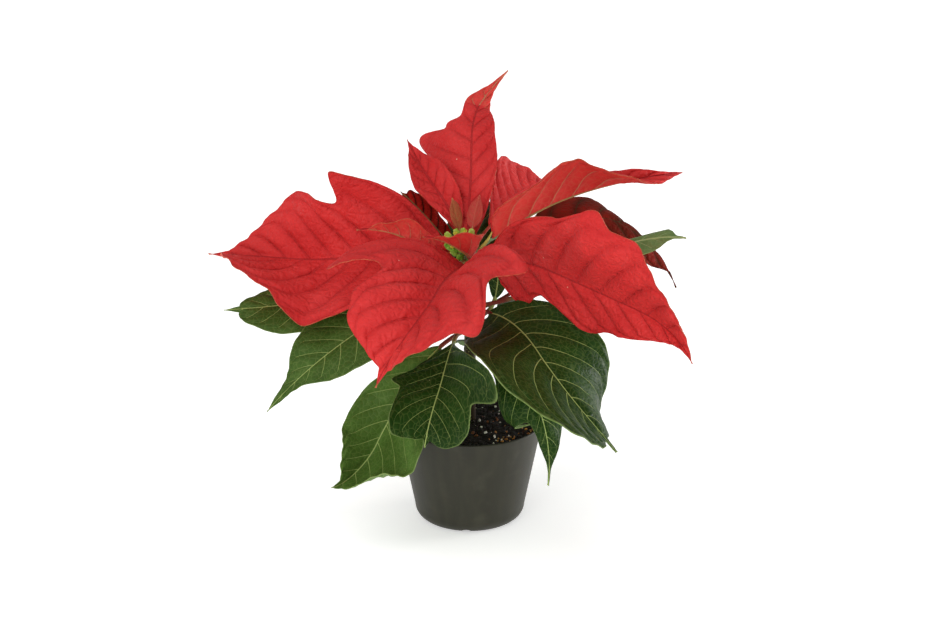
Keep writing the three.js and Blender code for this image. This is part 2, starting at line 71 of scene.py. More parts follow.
# Relief of a blade: `puff` between its veins, grooves at them, ruffled margin, and small rumples.
RELIEF = {
    "bract": {"puff": 1.5, "groove": 0.9, "rib": 0.8, "ruffle": 0.6, "rumple": 0.7},
    "bractlet": {"puff": 1.0, "groove": 0.8, "rib": 0.9, "ruffle": 0.6, "rumple": 0.6},
    "dark": {"puff": 0.8, "groove": 0.35, "rib": 0.6, "ruffle": 0.5, "rumple": 0.35},
    "leaf": {"puff": 0.7, "groove": 0.3, "rib": 0.6, "ruffle": 0.4, "rumple": 0.3},
}
FULL_RELIEF_WIDTH = 90  # narrower blades have less relief in proportion
GROOVE_WIDTH = 0.13  # of the space between two side veins
# Rumples of one size and finer ones over them. Those of the two halves lie `apart` in the noise.
RUMPLE = Values(size=5.5, per_vein=1.4, apart=9.0, finer=1.7, fine_share=0.5, fine_seed=5.0)
# Shares of a blade between which its relief comes or goes: from the midrib out, and near margin and tip.
CALM = Values(rib=(0.02, 0.25), margin=(0.8, 1.02), tip=(0.8, 0.97), rib_end=(0.7, 1.0), rumple=(0.8, 1))
RIB_WIDTH = 2.2
TURNED_OVER = {"bract_top": 0.72}  # past this share of its length a blade shows its paler side
# Small unevenness of the outline, less where the blade is narrow. Its halves lie `apart` in the noise.
MARGIN = Values(depth=0.35, size=5, full_width=6, apart=3.0)
# A stalk starts inside the stem, swollen there, and thins away under the blade as its rib.
STALK = Values(into_stem=1.5, end=0.93, points=64, sides=14, swell=0.45, swell_length=3)
STALK_RIB = Values(radius=0.8, taper=0.85, touch=0.1, joined=(-2, 4))
CUP_STALK = Values(radii=(1.1, 0.8), points=12, sides=12)
OPEN_CUPS_ABOVE = 5  # over this height the cups are open and pale, under it they are green buds
# What lies on the soil: sizes from small to large, between two shares of the pot's radius, and how deep.
LAID = {
    "crumbs": dict(count=1400, small=0.4, large=1.7, inner=0.06, outer=1, sunk=0.3),
    "perlite": dict(count=46, small=0.5, large=1.5, inner=0.15, outer=1, sunk=0.2),
    "rim_beads": dict(count=24, small=0.7, large=1.5, inner=0.82, outer=1, sunk=0.1, middle=-42, spread=44),
    "beads": dict(count=8, small=0.8, large=1.3, inner=0.4, outer=1, sunk=0.1),
    "chips": dict(count=30, small=0.6, large=1.8, inner=0.15, outer=1, sunk=0.2),
}

# Every leaf and bract, from the crown down, with the same values as the solids: its name, the height where
# it leaves the stem, the lengths of stalk and blade, the half-widths (left, right) seen from the stem, where
# it is widest and how many side veins it has, then how it bends. The first word of its name is its kind. A
# tooth or lobe is (side (0 left, 1 right), at which vein, height, half its base in veins); a height below
# zero is a notch.
FIRST = ("name", "start", "stalk", "length", "width", "widest", "veins")


def leaf_of(*first, fullness=2, teeth=(), **bends):
    """The values of one leaf or bract, of an even outline without teeth unless they say otherwise."""
    values = dict(zip(FIRST, first), fullness=fullness, teeth=teeth, **bends)
    return Values(kind=values["name"].split("_")[0], **values)


FAR_SIDE = dict(fold=((10, 0), (10, 0)), curl=((20, 20), (20, 20)))
LEAVES = [
    leaf_of("bract_front", 181, 6, 153, (49, 56), 0.45, 7, heading=(255, 255, 205), climb=(15, 0, -25, -65),
        roll=(0, 0, 5), fold=((50, 40), (70, 45)), curl=((0, 95), (95, 70)),
        teeth=((1, 1.6, 41, 1.1), (1, 3.1, -12, 0.9), (0, 2, 29, 1.1), (0, 4, 15, 0.8), (1, 5.5, 3, 1.2))),
    leaf_of("bract_left", 187, 9, 174, (58, 45), 0.5, 8, fullness=2.25, heading=(180, 165, 160),
        climb=(15, -15, 0, -5), roll=(45, 60, 5), fold=((35, 40), (35, 10)), curl=((10, 0), (-40, -30)),
        teeth=((1, 1.5, 51, 1.5), (1, 4, 12, 1.9), (0, 2.5, 28, 2.1))),
    leaf_of("bract_top", 188, 8, 155, (30, 20), 0.35, 8, heading=(95, 85, 90, 70, 45),
        climb=(60, 45, 45, 20, 30), roll=(20, 10, -50), fold=((5, -15), (15, -5)),
        curl=((30, 30), (15, 25)), teeth=((0, 4, 25, 1), (0, 6, -7, 0.9), (1, 5.5, 2, 1.5))),
    leaf_of("bract_top_left", 191, 14, 80, (16, 16), 0.45, 6, heading=(120, 130, 120), climb=(50, 35, 40),
        roll=(30, 45, 5), fold=((50, 40), (25, 5)), curl=((15, 10), (15, 15))),
    leaf_of("bract_small_left", 183, 24, 60, (14, 12), 0.35, 6, heading=(207, 210, 185), climb=(10, 40, -5),
        roll=(-10, -5, 0), fold=((80, 60), (60, 50)), curl=((10, 10), (10, 10))),
    leaf_of("bract_back_right", 191, 21, 91, (34, 16), 0.5, 7, fullness=2.25, heading=(45, 65, 55),
        climb=(40, 10, -10), roll=(-40, -15), fold=((30, 0), (40, 10)), curl=((-20, -25), (5, 10))),
    leaf_of("bract_right_raised", 188, 16, 145, (19, 42), 0.25, 7, fullness=1.5, heading=(-5, 25, -10, 55),
        climb=(45, 20, 15, -10), roll=(25, 15, -75), fold=((50, 75, 0), (70, 65, 30)),
        curl=((55, 10), (115, -5))),
    leaf_of("bract_right", 183, 12, 187, (74, 29), 0.45, 8, fullness=2.25, heading=(320, 320, 320, 280),
        climb=(20, -10, -10, -20), roll=(-75, -95, -70), fold=((30, 55), (-45, 15)),
        curl=((10, 60), (-45, -5)),
        teeth=((0, 3, 18, 0.9), (0, 6, -12, 1.6), (1, 0.5, 25, 1.6), (1, 3.5, 8, 1.3))),
    leaf_of("bract_small_front", 184, 0, 48, (18, 8), 0.2, 5, heading=(280, 200, 180), climb=(35, 35, 5),
        roll=(-5, -10), fold=((65, 40), (60, 50)), curl=((0, 0), (-10, 0))),
    leaf_of("bractlet_yellow", 191, 13, 22, (6, 8), 0.4, 4, heading=(160, 135), climb=(70, 75),
        roll=(0, -10), fold=((10, 10), (10, 0)), curl=((25, 15), (15, 20))),
    leaf_of("bractlet_red", 192, 12, 23, (7, 9), 0.35, 4, heading=(80, 45), climb=(70, 65), roll=(5, 0),
        fold=((5, 5), (20, 30)), curl=((40, 20), (15, 0))),
    leaf_of("bractlet_olive", 190, 6, 15, (2.4, 2.4), 0.45, 4, heading=(325, 345), climb=(20, 75),
        roll=(0, 0), fold=((30, 20), (30, 20)), curl=((10, 10), (10, 10))),
    leaf_of("dark_leaf_left", 183, 10, 57, (14, 16), 0.62, 6, heading=(140, 145, 145), climb=(30, 40, 30),
        roll=(0, 10), fold=((20, 10), (10, 10)), curl=((10, 10), (20, 20))),
    leaf_of("dark_leaf_right", 149, 42, 152, (36, 29), 0.45, 7, fullness=1.75, heading=(0, 35, 20, 0),
        climb=(15, 55, -30, -70), roll=(-30, -30, -10), fold=((15, -35), (5, -25)),
        curl=((10, 35), (20, 30))),
    leaf_of("leaf_back_right", 152, 58, 99, (28, 18), 0.45, 7, fullness=2.25, heading=(-34, 10, -40),
        climb=(15, 33, 5), roll=(10, -55), fold=((-15, -35), (-5, 0)), curl=((30, 40), (20, 30))),
    leaf_of("leaf_far_left", 159, 38, 125, (30, 24), 0.5, 7, fullness=1.75, heading=(175, 185, 175),
        climb=(10, -10, -5), roll=(30, 40), fold=((10, 10), (10, 0)), curl=((20, 20), (20, 20))),
    leaf_of("leaf_left", 155, 30, 130, (30, 36), 0.35, 8, fullness=2.25, heading=(200, 210, 205),
        climb=(20, -20, -30, -45), roll=(20, 20), fold=((10, 0), (10, 10)), curl=((10, 30), (10, 10))),
    leaf_of("leaf_front_left", 135, 25, 129, (60, 32), 0.5, 8, fullness=2.25, heading=(230, 195, 245),
        climb=(0, -55, -60, 15), roll=(50, 50), fold=((10, 95), (25, 30)), curl=((35, 20), (10, 5))),
    leaf_of("leaf_front", 138, 25, 79, (38, 30), 0.5, 7, fullness=1.75, heading=(245, 255, 245),
        climb=(10, -40, -35, -70), roll=(-30, 20), fold=((40, 15), (15, 25)), curl=((-35, 0), (10, -20)),
        teeth=((0, 2, 37, 1.7), (1, 5.5, 8, 1.8), (1, 2.5, 9, 0.8))),
    leaf_of("leaf_right", 148, 21, 149, (62, 67), 0.45, 8, fullness=1.75, heading=(305, 295, 345),
        climb=(20, -10, -35, -50), roll=(-40, -10, -20), fold=((-18, -18, -50), (20, 55)),
        curl=((-25, 25), (-5, 50))),
    leaf_of("leaf_low_right", 122, 24, 104, (23, 13), 0.35, 7, fullness=2.25, heading=(305, 310, 300),
        climb=(-15, -5, -65, -100), roll=(-5, 0), fold=((15, -5), (0, -25)), curl=((15, 20), (50, 75)),
        teeth=((1, 2.5, 35, 1.9),)),
    leaf_of("leaf_axil", 144, 21, 36, (9, 9), 0.5, 5, heading=(345, 350, 350), climb=(10, 75, 88, 88),
        roll=(-80, -80), fold=((20, 15), (20, 15)), curl=((20, 20), (20, 20))),
    leaf_of("leaf_back", 148, 22, 80, (30, 22), 0.4, 7, heading=(95, 75, 90), climb=(25, 60, 0),
        roll=(20, 20), **FAR_SIDE),
    leaf_of("leaf_back_left", 142, 26, 90, (24, 24), 0.4, 7, heading=(150, 155, 150), climb=(10, -10, -30),
        roll=(10, 10), **FAR_SIDE),
    leaf_of("leaf_rear_right", 134, 26, 90, (26, 24), 0.4, 7, heading=(50, 40, 40), climb=(15, -10, -30),
        roll=(-5, -5), **FAR_SIDE),
    leaf_of("leaf_low_back", 112, 20, 70, (20, 20), 0.4, 6, heading=(80, 85, 85), climb=(10, -15, -40),
        roll=(0, 0), **FAR_SIDE),
]


# ---- small helpers ----
def along(values, share):
    """A value that changes evenly along a list, at shares 0 to 1 of the way."""
    return np.interp(share, np.linspace(0, 1, len(values)), values)


def mix(low, high, share):
    return low + (high - low) * share


def ramp(value, low, high):
    """0 below low, 1 above high, and a smooth rise between."""
    share = np.clip((value - low) / (high - low), 0, 1)
    return share * share * (3 - 2 * share)


def fade(value, full, gone):
    """1 below full, 0 above gone, and a smooth fall between."""
    return ramp(-value, -gone, -full)


def noise_at(*coordinates):
    """Smooth noise between about -1 and 1 at three lists of coordinates."""
    return np.array([noise.noise(spot) for spot in zip(*np.broadcast_arrays(*coordinates))])


def linear(code):
    """A colour given as sRGB hex, in linear light."""
    parts = [int(code[i:i + 2], 16) / 255 for i in (1, 3, 5)]
    return tuple(p / 12.92 if p <= 0.04045 else ((p + 0.055) / 1.055) ** 2.4 for p in parts) + (1.0,)


# ---- modelling helpers ----
def select(*pieces):
    """Selects these pieces alone, and makes the first one active."""
    bpy.ops.object.select_all(action="DESELECT")
    for piece in pieces:
        piece.select_set(True)
    bpy.context.view_layer.objects.active = pieces[0]


def begin(name, stretch=(1, 1, 1)):
    """Names the primitive that was just added, and moves its place, turn and stretch into its mesh."""
    piece = bpy.context.object
    piece.name = name
    piece.scale = stretch
    bpy.ops.object.transform_apply(location=True, rotation=True, scale=True)
    return piece


def stand(name, data):
    """Puts a mesh, a light or a camera into the scene as a new object."""
    made = bpy.data.objects.new(name, data)
    bpy.context.scene.collection.objects.link(made)
    return made


def coat(piece, *skins):
    """Gives a piece its materials."""
    for skin in skins:
        piece.data.materials.append(skin)
    return piece


def sheet(name, columns, rows, place):
    """A grid whose points `place` puts where they belong, from shares 0 to 1 across and along it.

    place gives the points in millimetres and a dict of UV maps, each as its two coordinates. Edges and ends
    that meet are merged, so a sheet rolled round and drawn together closes.
    """
    bpy.ops.object.select_all(action="DESELECT")
    bpy.ops.mesh.primitive_grid_add(x_subdivisions=columns, y_subdivisions=rows, size=2, calc_uvs=False)
    piece = begin(name)
    flat = np.empty(len(piece.data.vertices) * 3)
    piece.data.vertices.foreach_get("co", flat)
    shares = np.round((flat.reshape(-1, 3) + 1) / 2, 6)
    points, maps = place(shares[:, 0], shares[:, 1])
    piece.data.vertices.foreach_set("co", (points * MM).ravel())
    corner = np.empty(len(piece.data.loops), dtype=int)
    piece.data.loops.foreach_get("vertex_index", corner)
    for map_name, pair in maps.items():
        layer = piece.data.uv_layers.new(name=map_name)
        layer.data.foreach_set("uv", np.stack(pair, axis=-1)[corner].ravel())
    bpy.ops.object.mode_set(mode="EDIT")
    bpy.ops.mesh.select_all(action="SELECT")
    bpy.ops.mesh.remove_doubles(threshold=0.01 * MM)
    bpy.ops.object.mode_set(mode="OBJECT")
    return piece


def around(share):
    """The angle at a share of a full turn. A sheet's last column lies on its first."""
    return TURN * np.where(share > 0.999, 0, share)


def tube(name, centres, sides_of, ups_of, radii, sides):
    """A closed round rod along centres, drawn to a point at both ends. Its UV runs along and round it."""
    rows = len(centres) - 1
    travelled = np.concatenate([[0], np.cumsum(np.linalg.norm(np.diff(centres, axis=0), axis=1))])

    def place(u, w):
        row = np.round(w * rows).astype(int)
        angle = -around(u)
        spoke = np.cos(angle)[:, None] * sides_of[row] + np.sin(angle)[:, None] * ups_of[row]
        points = centres[row] + spoke * radii[row][:, None]
        return points, {"place": (travelled[row] * MM, u), "veins": (w, u)}

    return sheet(name, sides, rows, place)


def turned(name, outline, sides, bulge=None):
    """A shape turned about the upright axis, from its outline of (radius, height) from inside to outside."""
    outline = np.array(outline, dtype=float)
    rows = len(outline) - 1

    def place(u, w):
        row = np.round(w * rows).astype(int)
        angle = around(u)
        radius, height = outline[row].T
        if bulge:
            radius, height = bulge(radius, height, angle)
        points = np.stack([radius * np.cos(angle), radius * np.sin(angle), height], axis=-1)
        return points, {}

    return sheet(name, sides, rows, place)


def join(pieces, name):
    """Joins pieces into the first of them."""
    select(*pieces)
    bpy.ops.object.join()
    pieces[0].name = name
    return pieces[0]


def smooth(piece, angle):
    select(piece)
    bpy.ops.object.shade_smooth_by_angle(angle=math.radians(angle))


def modify(piece, kind, **settings):
    """Adds a modifier with its settings and applies it."""
    select(piece)
    modifier = piece.modifiers.new(kind.lower(), kind)
    for name, value in settings.items():
        setattr(modifier, name, value)
    bpy.ops.object.modifier_apply(modifier=modifier.name)


def copy_of(pattern, matrix):
    """A copy of a piece with its own mesh, put in place by a matrix."""
    made = stand(pattern.name, pattern.data.copy())
    made.data.transform(matrix)
    return made


def settle(piece, node, slot):
    """Puts a finished piece on the plant, in place of its plain solid."""
    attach(piece, "root")
    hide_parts(node)


# ---- materials ----
SMOOTH = {"interpolation_type": "SMOOTHSTEP"}
COLOUR = {"data_type": "RGBA"}


def new_material(name):
    """An empty material, the function that adds a node to it, and the coordinates its patterns read."""
    material = bpy.data.materials.new(name)
    material.use_nodes = True
    material.node_tree.nodes.clear()

    def add(kind, inputs=(), **settings):
        """Adds a node with its settings and inputs.

        Inputs are named, or listed in the order the node shows them. Each is a value, a colour as sRGB hex,
        an output to link, or a node whose first output is linked.
        """
        made = material.node_tree.nodes.new("ShaderNode" + kind)
        for setting, value in settings.items():
            setattr(made, setting, value)
        shown = [socket for socket in made.inputs if socket.enabled]
        if isinstance(inputs, dict):
            shown = [made.inputs[socket] for socket in inputs]
            inputs = inputs.values()
        for socket, value in zip(shown, inputs):
            if isinstance(value, bpy.types.Node):
                value = next(output for output in value.outputs if output.enabled)
            if isinstance(value, bpy.types.NodeSocket):
                material.node_tree.links.new(value, socket)
            else:
                socket.default_value = linear(value) if isinstance(value, str) else value
        return made

    return material, add, add("TexCoord").outputs["Object"]


def finish(material, add, colour, roughness, height, depth, sockets):
    """Gives a material its shader, with a relief `depth` millimetres deep and values even all over it."""
    bump = add("Bump", {"Height": height, "Distance": depth * MM, "Strength": 1.0})
    shader = {"Base Color": colour, "Roughness": roughness, "Normal": bump, **sockets}
    add("OutputMaterial", [add("BsdfPrincipled", shader)])
    return material


def layer(add, colour, over, value, span, shares=(0, 1), **how):
    """Lays one colour over another, its share changing as a value crosses a span."""
    share = add("MapRange", [value, *span, *shares], **how)
    return add("Mix", [share, colour, over], **COLOUR)


def mottle(add, place, size, detail, tones, rough, edges=(0.35, 0.65)):
    """Soft clouds `size` millimetres across, their two tones, and a roughness that changes with them."""
    clouds = add("TexNoise", [place, 1 / (size * MM), detail])
    colour = layer(add, *tones, clouds, edges, **SMOOTH)
    return clouds, colour, add("MapRange", [clouds, 0.3, 0.7, *rough])


# Sizes of a blade's patterns in millimetres, and where its margin line and its specks lie, as shares.
SKIN = Values(clouds=28, specks=21, grain=0.7, grain_share=0.25, margin=(0.975, 0.992),
        speck=(0.014, 0.024))


def vein_pattern(add, side_width, side_end, rib_width):
    """The lines of a blade: 1 on its side veins or midrib, 0 away from them, and how far out a point is.

    The map "veins" counts side veins along the blade and runs from -1 to 1 across it. The map "place" is
    metres along and across the flattened blade. A line thins outwards or towards the tip, and its edge is
    soft from a share of its half-width on.
    """
    counted = add("SeparateXYZ", [add("UVMap", uv_map="veins")])
    placed = add("SeparateXYZ", [add("UVMap", uv_map="place")])
    out = add("Math", [counted.outputs["Y"]], operation="ABSOLUTE")
    beside = add("Math", [counted.outputs["X"], 0.5], operation="PINGPONG")
    off_rib = add("Math", [placed.outputs["Y"]], operation="ABSOLUTE")
    lines = []
    for distance, way, length, width, thinned, soft in (
        (beside, out, 1, side_width, 0.45, 0.45),
        (off_rib, placed.outputs["X"], 0.16, rib_width * MM, 0.35, 0.55),
    ):
        width = add("MapRange", [way, 0, length, width, width * thinned])
        line = add("Math", [distance, width], operation="DIVIDE")
        lines.append(add("MapRange", [line, soft, 1, 1, 0], **SMOOTH))
    faded = add("MapRange", [out, side_end - 0.3, side_end, 1, 0], **SMOOTH)
    side = add("Math", [lines[0], faded], operation="MULTIPLY")
    return {"side": side, "rib": lines[1], "out": out, "beside": beside}


def net_pattern(add, cell):
    """A fine net of veinlets, `cell` millimetres between them: how far a point is from the nearest one."""
    place = add("UVMap", uv_map="place")
    shift = add("TexNoise", [place, 1 / (2 * cell * MM), 1])
    far = (0.8 * cell * MM,) * 3
    bent = add("VectorMath", [shift.outputs["Color"], far, place], operation="MULTIPLY_ADD")
    return add("TexVoronoi", [bent, 1 / (cell * MM)], feature="DISTANCE_TO_EDGE")


def blade_material(name, look):
    """A leaf skin: two tones in soft clouds, its veins and fine net, a margin line and a few specks."""
    material, add, body = new_material(name)
    pattern = vein_pattern(add, look.side_vein, look.side_end, look.midrib)
    net = net_pattern(add, look.net_cell)
    clouds = add("TexNoise", [body, 1 / (SKIN.clouds * MM), 3])
    clouds = add("MapRange", [clouds, 0.35, 0.65, 0, 1], **SMOOTH)
    field, field_cloud, beside, vein, margin, speck = look.tones
    beside_share, side_share, rib_share, net_share, margin_share, speck_share = look.shares
    colour = add("Mix", [clouds, field, field_cloud], **COLOUR)
    # The strips beside the veins. On the red bracts' upper side, they and the dark vein lines are painted
    # shade of the creases.
    colour = layer(add, colour, beside, pattern["beside"], (0, 0.3), (beside_share, 0))
    colour = layer(add, colour, vein, net, (0, 0.1), (net_share, 0), **SMOOTH)
    for line, share, shade in (("side", side_share, vein), ("rib", rib_share, getattr(look, "rib", vein))):
        share = add("Math", [pattern[line], share], operation="MULTIPLY")
        colour = add("Mix", [share, colour, shade], **COLOUR)
    colour = layer(add, colour, margin, pattern["out"], SKIN.margin, (0, margin_share))
    specks = add("TexVoronoi", [body, 1 / (SKIN.specks * MM)])
    colour = layer(add, colour, speck, specks, SKIN.speck, (speck_share, 0))
    roughness = add("MapRange", [clouds, 0, 1, look.roughness - 0.05, look.roughness + 0.05])
    quilt = add("MapRange", [net, 0, 0.35, 0, look.quilt], **SMOOTH)
    lines = add("Math", [pattern["side"], pattern["rib"]], operation="MAXIMUM")
    ridges = add("Math", [lines, look.vein_rise, quilt], operation="MULTIPLY_ADD")
    grain = add("TexNoise", [body, 1 / (SKIN.grain * MM), 2])
    height = add("Math", [grain, SKIN.grain_share, ridges], operation="MULTIPLY_ADD")
    return finish(material, add, colour, roughness, height, look.relief, look.sockets)


# Red skins: light soaks into them and comes out red, and short hairs dull their shine.
VELVET = {
    "Subsurface Weight": 0.12, "Subsurface Radius": (1.0, 0.12, 0.08), "Subsurface Scale": 0.0012,
    "Specular IOR Level": 0.14, "Sheen Weight": 0.05, "Sheen Roughness": 0.5, "Sheen Tint": linear("#ff8070"),
}
# Green and maroon skins have a thin waxy coat, with a low broad shine.
SATIN = {
    "Subsurface Weight": 0.06, "Subsurface Radius": (0.4, 1.0, 0.2), "Subsurface Scale": 0.0008,
    "Specular IOR Level": 0.08,
}
DULL_SATIN = dict(SATIN, **{"Specular IOR Level": 0.02})

# Skins of the blades. Their tones are those of the field, its clouds, the strips beside the veins, the veins,
# the margin and the specks. Their shares say how strongly the strips, side veins, midrib, net, margin and
# specks show. Upper sides have sunken veins and undersides raised ones; very young blades are smoother.
UPPER = dict(side_end=1.0, roughness=0.55, vein_rise=-0.5, quilt=0.7, relief=0.4)
UNDER = dict(side_end=1.0, midrib=1.2, roughness=0.6, vein_rise=0.6, quilt=-0.5, relief=0.3)
YOUNG = dict(side_vein=0.06, side_end=0.95, midrib=0.5, net_cell=2.0, roughness=0.55, vein_rise=-0.5,
             relief=0.2)
LOOKS = {
    "bract_velvet": dict(  # velvety red, quilted; darker strips and lines at its veins are painted crease shade
        UPPER, tones=("#c83130", "#be2929", "#ac1f21", "#8c171a", "#a02c22", "#ecc8ae"),
        shares=(0.4, 0.1, 0.55, 0.04, 0.3, 0.8), side_vein=0.07, side_end=0.75, midrib=1.1, net_cell=4.6,
        roughness=0.6, vein_rise=-0.7, relief=0.6, sockets=VELVET,
    ),
    "bract_underside": dict(  # paler, with raised pale veins; its field is partly painted light, brightened against its shade
        UNDER, tones=("#d6403a", "#c83530", "#b82e2a", "#b28a64", "#b07a4a", "#e0a890"),
        shares=(0.5, 0.55, 0.6, 0.1, 0.5, 0.2), side_vein=0.045, side_end=0.95, net_cell=4.6, relief=0.4,
        sockets=VELVET,
    ),
    "leaf_satin": dict(  # dark satin green with yellow-green veins
        UPPER, tones=("#1a330b", "#233e11", "#213a10", "#9fb066", "#7d9155", "#a8a878"),
        shares=(0.3, 0.85, 0.9, 0.1, 0.5, 0.5), side_vein=0.03, side_end=1.02, midrib=0.65, net_cell=3.6,
        roughness=0.45, quilt=0.4, sockets=SATIN,
    ),
    "leaf_underside": dict(  # pale grey-green with raised veins
        UNDER, tones=("#677e4b", "#5a7340", "#6b8150", "#9fb074", "#95a562", "#8f8f68"),
        shares=(0.3, 0.8, 0.8, 0.15, 0.5, 0.2), side_vein=0.04, net_cell=3.6, sockets=SATIN,
    ),
    "maroon_satin": dict(  # a leaf half turned red: dark maroon fields, brown-green veins
        UPPER, tones=("#7a1b13", "#5c1a11", "#2a170c", "#43351c", "#2e1a10", "#8a6a48"),
        shares=(0.65, 0.6, 0.6, 0.2, 0.5, 0.4), side_vein=0.035, midrib=0.9, net_cell=4.2,
        sockets=DULL_SATIN,
    ),
    "maroon_underside": dict(  # duller and browner
        UNDER, tones=("#6a2218", "#47190f", "#361a10", "#56452a", "#4a3422", "#8a6a48"),
        shares=(0.5, 0.4, 0.6, 0.2, 0.5, 0.2), side_vein=0.04, net_cell=4.2, sockets=DULL_SATIN,
    ),
    "young_amber": dict(  # a bract still colouring: orange-brown with an olive midrib
        YOUNG, tones=("#b46240", "#a85438", "#a86a3e", "#b08c50", "#a8402c", "#c8a070"),
        shares=(0.5, 0.25, 0.45, 0.15, 0.6, 0.3), quilt=0.4, sockets=VELVET,
    ),
    "young_red": dict(  # one that is almost red, with raised veins
        YOUNG, tones=("#b8423a", "#ac3832", "#a84838", "#b86a52", "#9a3a30", "#d8a090"),
        shares=(0.4, 0.3, 0.4, 0.2, 0.4, 0.3), vein_rise=0.5, quilt=-0.3, sockets=VELVET,
    ),
    "young_olive": dict(  # one that is still olive yellow
        YOUNG, tones=("#b8a850", "#c0ac54", "#9a9444", "#c8bc68", "#8a7a30", "#c8b070"),
        shares=(0.4, 0.5, 0.6, 0.15, 0.4, 0.3), quilt=0.3, sockets=SATIN,
    ),
}
# Lighter copies of the satin green: painted light for the leaves in the light on the left, palest on
# leaf_front_left.
PAINTED_LIGHT_GREENS = {"leaf_fresh": ("#38501c", "#466128", "#3f5a24"), "leaf_pale": ("#425c22", "#52702f", "#4a6529")}
for name, tones in PAINTED_LIGHT_GREENS.items():
    LOOKS[name] = dict(LOOKS["leaf_satin"], tones=tones + LOOKS["leaf_satin"]["tones"][3:])
# A leaf further on in turning: red fields between nearly black veins, with an olive midrib.
LOOKS["maroon_red"] = dict(
    LOOKS["maroon_satin"], tones=("#a01f18", "#7e1a13", "#2a0d08", "#1a0f08", "#2e1a10", "#8a6a48"),
    shares=(0.65, 0.85, 0.9, 0.2, 0.5, 0.4), side_vein=0.1, rib="#7a6440",
)


def stalk_material(name, at_stem, at_blade, in_blade):
    """A smooth stalk that changes colour from the stem to the blade, and again as the rib under the blade."""
    material, add, body = new_material(name)
    placed = add("SeparateXYZ", [add("UVMap", uv_map="veins")])
    clouds = add("TexNoise", [body, 1 / (5 * MM), 3])
    way = add("Math", [clouds, 0.12, placed.outputs["X"]], operation="MULTIPLY_ADD")
    colour = layer(add, at_stem, at_blade, way, (0.02, 0.2), **SMOOTH)
    colour = layer(add, colour, in_blade, way, (0.2, 0.45), **SMOOTH)
    roughness = add("MapRange", [clouds, 0.3, 0.7, 0.38, 0.5])
    height = add("TexNoise", [body, 1 / (1.2 * MM), 3])
    return finish(material, add, colour, roughness, height, 0.1, SATIN)


def stem_material():
    """Young green stem with pale corky dots, dark brown low down: older bark and painted shade under the
    leaves.
    """
    material, add, body = new_material("stem_green_bark")
    clouds, colour, roughness = mottle(add, body, 9, 3, ("#57663a", "#6e6a3c"), (0.5, 0.62))
    height = add("SeparateXYZ", [body]).outputs["Z"]
    # Painted shade: below 110 to 150 mm the stem turns dark brown, for the shade under the leaves as well as
    # its older bark.
    colour = layer(add, colour, "#2e2419", height, (0.11, 0.15), (1, 0), **SMOOTH)
    dots = add("TexVoronoi", [body, 1 / (4 * MM)])
    colour = layer(add, colour, "#9a8f64", dots, (0.09, 0.14), (0.6, 0))
    height = add("TexNoise", [body, 1 / (1.5 * MM), 3])
    return finish(material, add, colour, roughness, height, 0.25, SATIN)


def tissue_material(name, *tones):
    """Soft fresh tissue in two tones: a flower cup, its waxy lip, or the cut edge of a blade."""
    material, add, body = new_material(name)
    clouds, colour, roughness = mottle(add, body, 3.5, 3, tones, (0.35, 0.5))
    height = add("TexNoise", [body, 1 / (0.8 * MM), 3])
    return finish(material, add, colour, roughness, height, 0.3, SATIN)


def pot_material():
    """Injection-moulded polypropylene: matt olive-grey, finely grained, with faint flow streaks and dust."""
    material, add, body = new_material("pot_moulded_polypropylene")
    drawn_out = add("Mapping", {"Vector": body, "Scale": (1.0, 1.0, 0.12)})
    streaks, colour, roughness = mottle(add, drawn_out, 9, 3, ("#26251a", "#2d2c20"), (0.45, 0.55))
    dust = add("TexNoise", [body, 1 / (14 * MM), 6])
    colour = layer(add, colour, "#6a6656", dust, (0.5, 0.8), (0, 0.1), **SMOOTH)
    grain = add("TexNoise", [body, 1 / (0.6 * MM), 2])
    return finish(material, add, colour, roughness, grain, 0.05, {"IOR": 1.49, "Specular IOR Level": 0.3})


def soil_material(name, size, *tones):
    """Damp peat: nearly black crumbs with brown fibres, in clouds `size` millimetres across."""
    material, add, body = new_material(name)
    clouds, colour, roughness = mottle(add, body, size, 6, tones, (0.75, 0.95), edges=(0.4, 0.7))
    return finish(material, add, colour, roughness, clouds, 0.6, {"IOR": 1.4})


def grain_material(name, tones, smoothest, sockets):
    """Small grains in the soil, each a little uneven in tone and gloss."""
    material, add, body = new_material(name)
    clouds, colour, roughness = mottle(add, body, 1.6, 4, tones, (smoothest, smoothest + 0.15))
    return finish(material, add, colour, roughness, clouds, 0.2, sockets)


def floor_material():
    """A plain white painted floor, with the faintest mottle of a rolled coat."""
    material, add, body = new_material("floor_white_paint")
    clouds = add("TexNoise", [body, 1 / (60 * MM), 3])
    colour = add("Mix", [clouds, "#fbfbfb", "#ffffff"], **COLOUR)
    roughness = add("MapRange", [clouds, 0.3, 0.7, 0.8, 0.9])
    sockets = {"Emission Color": "#ffffff", "Emission Strength": 0.42, "Specular IOR Level": 0.2}
    return finish(material, add, colour, roughness, clouds, 0.01, sockets)


# ---- leaves and bracts ----
def stem_radius(z):
    share = (z - STEM.root) / (STEM.crown - STEM.root)
    return along([STEM.foot, STEM.middle, STEM.top], share)


def direction(leaf, share):
    climb = np.radians(along(leaf.climb, share))
    heading = np.radians(along(leaf.heading, share))
    flat = np.cos(climb)
    return np.stack([flat * np.cos(heading), flat * np.sin(heading), np.sin(climb)], axis=-1)


def rib_of(leaf):
    """The line of the stalk and midrib, walked from the stem's side to the tip."""
    step = (leaf.stalk + leaf.length) / RIB_STEPS
    heading = math.radians(leaf.heading[0])
    out = stem_radius(leaf.start)
    first = np.array([[out * math.cos(heading), out * math.sin(heading), leaf.start]])
    walk = direction(leaf, (np.arange(RIB_STEPS) + 0.5) / RIB_STEPS) * step
    return np.vstack([first, first + np.cumsum(walk, axis=0)])


